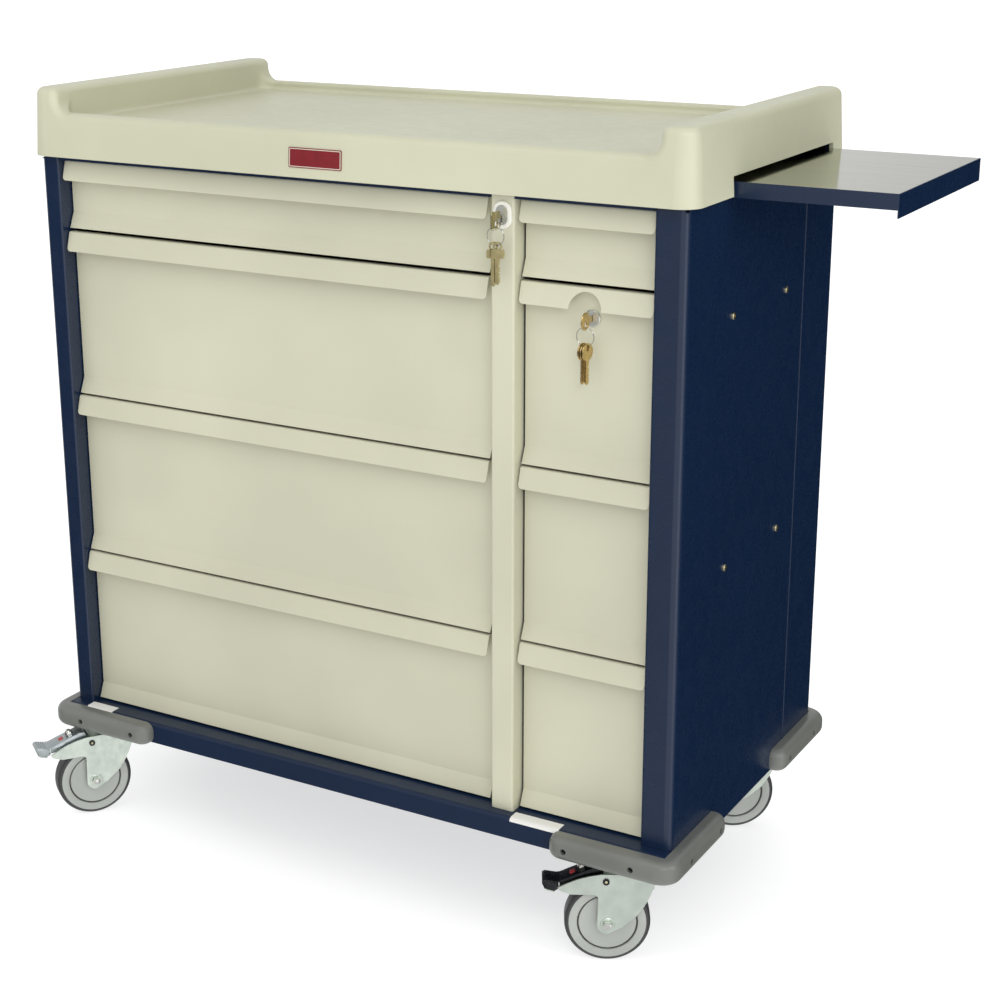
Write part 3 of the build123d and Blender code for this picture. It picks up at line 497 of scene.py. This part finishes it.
def pedal(corner, place, tilt, look):
    """Pressed channel with a foot pad, an adjusting nut and a warning mark."""
    body = "pedal_" + corner
    node = "brake_pedal_" + corner
    hinge = Matrix.Translation((PIVOT[0] * MM, PIVOT[1] * MM, 0.0))
    place = place @ hinge @ Matrix.Rotation(math.radians(tilt), 4, "Z") @ hinge.inverted()
    back = [(-47.0, 134.0), (-50.2, 144.0), (-54.0, 148.8), (-61.0, 149.0), (-109.0, 131.6)]
    plate(
        "pedal_channel_" + corner, [ribbon(back, 2.0)], -14.6, 14.6, 0.4, place, look, body,
        (node,),
    )
    cheek = [
        (-37.5, 136.0, 3.0), (-49.0, 138.5, 2.0), (-52.0, 149.0, 3.0), (-61.0, 149.2, 5.0),
        (-109.5, 131.8, 1.0), (-110.5, 122.0, 1.5), (-76.0, 127.6, 8.0), (-48.0, 127.2, 3.0),
        (-37.5, 128.2, 3.0),
    ]
    for side, end in FACES:
        low, high = sorted((13.0 * side, 14.8 * side))
        plate(
            "pedal_cheek_" + end + "_" + corner, [rounded(cheek)], low, high, 0.3, place, look, body,
        )
    pad = [
        (-108.0, 131.6), (-114.0, 131.2), (-130.5, 134.8), (-133.4, 133.4), (-133.8, 130.6),
        (-130.6, 122.0),
    ]
    plate("pedal_pad_" + corner, [ribbon(pad, 2.2)], -15.0, 15.0, 0.5, place, look, body)
    end_wall = [
        (-111.0, 131.6, 1.0), (-130.5, 135.2, 2.0), (-134.4, 131.4, 2.0), (-131.2, 121.4, 3.0),
        (-118.0, 117.0, 2.0), (-111.0, 121.0, 2.0),
    ]
    lip = [(-131.0, 121.6), (-128.8, 119.6), (-117.6, 116.2)]
    for side, end in FACES:
        low, high = sorted((13.2 * side, 15.0 * side))
        plate("pedal_wall_" + end + "_" + corner, [rounded(end_wall)], low, high, 0.3, place, look, body)
    plate("pedal_lip_" + corner, [ribbon(lip, 1.8)], -15.2, 15.2, 0.4, place, zinc, body)
    for number in range(4):
        at = -118.0 - 3.6 * number
        top = 132.4 + (-114.0 - at) * 0.218
        rib = rounded([(at - 0.9, top - 1.0, 0.2), (at + 0.9, top - 1.0, 0.2), (at + 0.5, top + 1.0, 0.3),
                       (at - 0.5, top + 1.0, 0.3)], 2)
        plate("pedal_rib_" + str(number) + "_" + corner, [rib], -12.5, 12.5, 0.15, place, look, body)
    slope = Vector((-48.0, -17.4, 0.0)).normalized()
    across = Vector((0.0, 0.0, 1.0))

    def on_back(along):
        spot = Vector((-61.0, 150.0, 0.0)) + slope * along
        return place @ frame_at(spot * MM, slope, across)

    nut = on_back(15.0)
    hexagon = arc((0.0, 0.0), 6.6, 0.0, 360.0, 6)[:-1]
    upside_down = (nut.to_3x3() @ Vector((0, 0, 1))).z < 0
    base = Matrix.Rotation(math.pi, 4, "X") if upside_down else Matrix()
    plate("pedal_nut_" + corner, [hexagon], 0.2, 5.2, 0.5, nut @ base, nickel, body)
    dome = [(0.0, 5.0), (5.6, 5.0), (5.4, 6.6), (3.8, 8.2), (0.0, 8.8)]
    lathe("pedal_stud_" + corner, dome, nut @ base, nickel, body, segments=32)
    mark = rounded([(-4.2, -5.0, 1.0), (4.2, -5.0, 1.0), (4.2, 5.0, 1.0), (-4.2, 5.0, 1.0)], 3)
    plate("pedal_mark_" + corner, [mark], -0.2, 0.7, 0.2, on_back(31.0) @ base, red_paint, body)


for corner in ("front_right", "front_left", "rear_right", "rear_left"):
    swivel = JOINTS[corner + "_swivel"]["pos_m"]
    spin = JOINTS[corner + "_wheel_spin"]
    centre = Vector(spin["pos_m"])
    ahead = Vector((swivel[0] - centre.x, swivel[1] - centre.y, 0.0))
    caster = frame_at((swivel[0], swivel[1], 0.0), ahead, (0.0, 0.0, 1.0))
    wheel(corner, frame_at(centre, ahead, (0.0, 0.0, 1.0)))
    press = JOINTS.get(corner + "_brake_press")
    fork_trim(corner, caster, press is not None)
    if press:
        steel = black_steel if corner == "front_right" else dark_steel
        pedal(corner, caster, -press["range_deg"][0], steel)


# ---------------------------------------------------------------- keys
RING_R = 13.0
RING_DROP = 10.3        # from the bow's bar to the ring's centre
EYE = (-5.6, 0.0)       # middle of a spare key's hole
EYE_R = 3.9
TURNED_EYE_R = 4.7      # of the hole in the key that is in the lock
BOW_R = 12.3            # of a round bow, and half the width of a square one
TEE_HALF = 9.6          # half the width of a tee-shaped head


def blade_edge(start, end, half):
    """Cut edge, tip and plain back of a key's blade, from the bow out and back again."""
    cuts = (1.0, 2.0, 0.6, 1.7, 1.2, 0.5)
    pitch = (end - start - 8.0) / len(cuts)
    edge = [(start, half)]
    for number, depth in enumerate(cuts):
        at = start + 3.0 + pitch * number
        edge += [(at, half), (at + pitch * 0.3, half - depth)]
        edge += [(at + pitch * 0.6, half - depth), (at + pitch * 0.9, half)]
    edge += [(end - 2.4, half * 0.7), (end, 0.3), (end - 1.2, -half * 0.7)]
    edge += [(end - 3.0, -half), (start, -half)]
    return edge


def round_bow(end, half):
    turn = math.degrees(math.asin(half / BOW_R))
    root = BOW_R * math.cos(math.radians(turn))
    rim = arc((0.0, 0.0), BOW_R, -turn, turn - 360.0, 40)
    return blade_edge(root, end, half) + rim[1:-1]


def square_bow(end, half):
    corners = [(BOW_R, -half - 0.5, 0.0), (BOW_R, -BOW_R, 4.5), (-BOW_R, -BOW_R, 4.5)]
    corners += [(-BOW_R, BOW_R, 4.5), (BOW_R, BOW_R, 4.5)]
    return blade_edge(BOW_R, end, half) + rounded(corners)


def tee_bow(end, half):
    """Broad head with a loop above it for the ring."""
    loop = [(x, y, 0.0) for x, y in arc(EYE, 6.4, -50.0, -310.0, 24)]
    corners = [(11.0, -half - 0.5, 0.0), (11.0, -TEE_HALF, 2.2), (-1.5, -TEE_HALF, 3.0)]
    corners += loop
    corners += [(-1.5, TEE_HALF, 3.0), (11.0, TEE_HALF, 2.2)]
    return blade_edge(11.0, end, half) + rounded(corners)


def circle(centre, radius, steps=28):
    return arc(centre, radius, 0.0, 360.0, steps)[:-1]


def key(name, outline, eye, eye_r, end, place, look, body, stands_for=()):
    """Key blank with its raised bow rim and milled blade."""
    plate(name, [outline, circle(eye, eye_r)], -1.0, 1.0, 0.25, place, look, body, stands_for)
    for side, face in ((1, "front"), (-1, "back")):
        low, high = sorted((0.9 * side, 1.3 * side))
        start, stop = 13.5, end - 5.0
        rib = rounded([(start, -1.9, 0.3), (stop, -1.9, 0.3), (stop, -0.9, 0.3), (start, -0.9, 0.3)], 2)
        plate(name + "_rib_" + face, [rib], low, high, 0.1, place, look, body)
        ring = [circle(eye, eye_r + 1.3), circle(eye, eye_r + 0.1)]
        plate(name + "_eyelet_" + face, ring, low, high, 0.12, place, look, body)


def split_ring(name, x, y, z, body, node):
    """Double-wound wire ring."""
    place = frame_at((x, y, z), (1.0, 0.0, 0.0), (0.0, 0.0, 1.0))
    for number, height in enumerate((-0.42, 0.42)):
        wire = arc((RING_R, height), 0.42, 0.0, 360.0, 10)[:-1]
        stands_for = (node,) if number else ()
        lathe(name + "_" + str(number), wire, place, ring_wire, body, stands_for)


def key_set(lock, look, turned_bow, turned_end, spare_bow, spare_end, angles, spin, hang):
    """The key in a lock, its ring and the spare keys that hang from it."""
    turn = JOINTS[lock + "_lock_turn"]["pos_m"]
    swing = JOINTS[lock + "_keys_hang"]["pos_m"]
    x, y, z = turn[0], swing[1], turn[2]
    bar = swing[2] - z
    place = frame_at((x, y, z), (0.0, 1.0, 0.0), (0.0, 0.0, 1.0))
    eye = (0.0, bar / MM + 1.5 + TURNED_EYE_R)
    key(lock + "_key_turned", turned_bow(turned_end, 4.0), eye, TURNED_EYE_R, turned_end, place, look,
        lock + "_lock", (lock + "_key",))
    ring_z = swing[2] - RING_DROP * MM
    split_ring(lock + "_split_ring", x, y, ring_z, lock + "_keys", lock + "_key_ring")
    for number, angle in enumerate(angles):
        lean = math.radians(angle)
        top = Vector((x + RING_R * MM * math.sin(lean), y, ring_z - RING_R * MM * math.cos(lean)))
        top.z += (EYE[0] - hang) * MM
        across = Vector((-math.sin(math.radians(spin)), math.cos(math.radians(spin)), 0.0))
        spare = frame_at(top, (0.0, 0.0, -1.0), across)
        end = spare_end - 3.0 * (number % 2)
        key(lock + "_spare_" + str(number), spare_bow(end, 3.6), EYE, EYE_R, end, spare, look,
            lock + "_keys", (lock + "_spare_keys",))


key_set("main", pale_brass, square_bow, 21.0, tee_bow, 50.0, (-14.0, 14.0), -55.0, 1.0)
key_set("drawer", brass, round_bow, 23.0, round_bow, 46.0, (-15.0, 0.0, 15.0), -8.0, 2.4)


# ---------------------------------------------------------------- badge and labels
def badge_border():
    """Pale raised border round the blank badge on the sloping skirt."""
    low, high = (Vector(v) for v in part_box("badge_plate"))
    middle = (low + high) / 2
    draft = math.radians(3.5)
    face = Vector((0.0, -math.cos(draft), math.sin(draft)))
    upward = Vector((0.0, math.sin(draft), math.cos(draft)))
    wide = (high.x - low.x) / MM
    tall = 28.5
    place = frame_at(middle + face * 0.0006, (1.0, 0.0, 0.0), upward)

    def rim(inset, radius):
        x, y = wide / 2 - inset, tall / 2 - inset
        return rounded([(x, -y, radius), (x, y, radius), (-x, y, radius), (-x, -y, radius)])

    outlines = [rim(1.2, 1.6), rim(2.4, 1.0)]
    plate("badge_border", outlines, -0.1, 0.4, 0.12, place, pale_gold, "cart")


def wrapped_label(name, x0, x1, low_y):
    """Blank label stuck on the ledge and pressed round its front edge."""
    top_z = 190.0
    front_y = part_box("base_pan")[0][1] / MM
    radius = 7.0
    lift = 0.18
    section = [(low_y, top_z + lift)]
    section += arc((front_y + radius, top_z - radius), radius + lift, 90, 168, 10)
    inner = arc((front_y + radius, top_z - radius), radius + 0.02, 168, 90, 10)
    outline = section + inner + [(low_y, top_z + 0.02)]
    place = frame_at((0.0, 0.0, 0.0), (0.0, 1.0, 0.0), (0.0, 0.0, 1.0))
    plate(name, [outline], x0, x1, 0.0, place, label, "cart", ("base_labels",))


def seam_bead(side, sign):
    """Rolled edge where a side panel meets the back panel."""
    low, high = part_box(side + "_side_panel")
    edge = (high[0] if sign > 0 else low[0]) / MM
    start, end = (-90.0, 90.0) if sign > 0 else (90.0, 270.0)
    section = arc((edge - 0.4 * sign, high[1] / MM), 1.3, start, end, 8)
    place = frame_at((0.0, 0.0, 0.0), (1.0, 0.0, 0.0), (0.0, 1.0, 0.0))
    plate(
        "seam_bead_" + side, [section], low[2] / MM + 2.0, high[2] / MM - 60.0, 0.0, place, navy,
        "cart",
    )


badge_border()
seam_bead("right", 1)
seam_bead("left", -1)
wrapped_label("blank_label_left", -510.0, -457.0, -277.5)
wrapped_label("blank_label_right", 297.0, 377.0, -277.5)


# ---------------------------------------------------------------- stage
DOME = 0.83             # strength of the studio's dome away from its patches


def studio():
    floor = bpy.data.meshes.new("floor")
    half = 200.0
    floor.from_pydata(
        [(-half, -half, 0.0), (half, -half, 0.0), (half, half, 0.0), (-half, half, 0.0)], [], [(0, 1, 2, 3)]
    )
    ground = bpy.data.objects.new("floor", floor)
    bpy.context.scene.collection.objects.link(ground)
    paper = Look("floor_paper", (0.46, 0.46, 0.46), 0.8, specular=0.1)
    paper.value("Emission Color", (1.0, 1.0, 1.0, 1.0))
    # The floor glows though it is no lamp; its emission is weaker near the cart and paints a soft shadow
    # round it.
    paper.painted_shadow_glow((1.1, 1.9), 0.50, 1.10, 0.64, 0.84)
    paper.bump(paper.noise(60.0), 0.0001)
    floor.materials.append(paper.mat)
    ground.visible_glossy = False

    world = bpy.data.worlds.new("studio")
    bpy.context.scene.world = world
    world.use_nodes = True
    tree = world.node_tree
    backdrop = tree.nodes["Background"]
    way = tree.nodes.new("ShaderNodeTexCoord").outputs["Generated"]
    strength = None
    for aim, edge, core, level in (
        ((0.60, 0.78, -0.18), 0.45, 0.90, 0.0),
        ((-0.80, -0.55, -0.25), 0.72, 0.97, 0.05),
        ((0.88, -0.42, -0.25), 0.965, 0.995, 2.2),
    ):
        patch = dome_patch(tree, way, aim, edge, core, level)
        product = tree.nodes.new("ShaderNodeMath")
        product.operation = "MULTIPLY"
        if strength:
            tree.links.new(strength, product.inputs[0])
        else:
            product.inputs[0].default_value = DOME
        tree.links.new(patch, product.inputs[1])
        strength = product.outputs["Value"]
    tree.links.new(strength, backdrop.inputs["Strength"])
    backdrop.inputs["Color"].default_value = (1.0, 1.0, 1.0, 1.0)


def dome_patch(tree, way, aim, edge, core, level):
    """Factor on the dome's strength: 1, fading to a level round a direction."""
    dot = tree.nodes.new("ShaderNodeVectorMath")
    dot.operation = "DOT_PRODUCT"
    dot.inputs[1].default_value = Vector(aim).normalized()
    tree.links.new(way, dot.inputs[0])
    fade = tree.nodes.new("ShaderNodeMapRange")
    fade.interpolation_type = "SMOOTHSTEP"
    for name, amount in zip(RANGE_SOCKETS, (edge, core, 1.0, level)):
        fade.inputs[name].default_value = amount
    tree.links.new(dot.outputs["Value"], fade.inputs["Value"])
    return fade.outputs["Result"]


def softbox(name, where, aim, width, height, power):
    data = bpy.data.lights.new(name, "AREA")
    data.shape = "RECTANGLE"
    data.size = width
    data.size_y = height
    data.energy = power
    lamp = bpy.data.objects.new(name, data)
    bpy.context.scene.collection.objects.link(lamp)
    lamp.location = where
    lamp.rotation_euler = (Vector(aim) - Vector(where)).to_track_quat("-Z", "Y").to_euler()


def camera():
    """Camera at the height, distance and angle that the cart is looked at from."""
    azimuth, pitch, roll = (math.radians(a) for a in (30.64, 16.79, -0.43))
    level = Vector((math.cos(azimuth), math.sin(azimuth), 0.0))
    ahead = Vector((-math.sin(azimuth), math.cos(azimuth), 0.0))
    forward = ahead * math.cos(pitch) - Vector((0.0, 0.0, math.sin(pitch)))
    upright = level.cross(forward)
    right = math.cos(roll) * level + math.sin(roll) * upright
    up = math.cos(roll) * upright - math.sin(roll) * level
    data = bpy.data.cameras.new("camera")
    data.sensor_width = 36.0
    data.lens = 69.31
    data.shift_x = 0.053
    data.shift_y = -0.0428
    data.clip_end = 200.0
    view = bpy.data.objects.new("camera", data)
    bpy.context.scene.collection.objects.link(view)
    axes = Matrix((right, up, -forward)).transposed().to_4x4()
    view.matrix_world = Matrix.Translation((1.5238, -2.5412, 1.5153)) @ axes
    bpy.context.scene.camera = view


studio()
camera()
softbox("key_front_right", (2.5, -2.9, 2.7), (0.2, -0.2, 0.9), 1.6, 1.4, 26.0)
softbox("side_right", (3.4, -0.6, 2.0), (0.5, 0.0, 0.8), 1.4, 1.8, 22.0)
softbox("fill_front_left", (-2.4, -3.2, 2.8), (0.0, 0.0, 0.9), 1.6, 1.4, 2.0)
softbox("top_front", (0.1, -1.9, 3.5), (0.0, -0.2, 0.8), 2.0, 1.0, 13.0)
bpy.context.scene.view_settings.view_transform = "Standard"
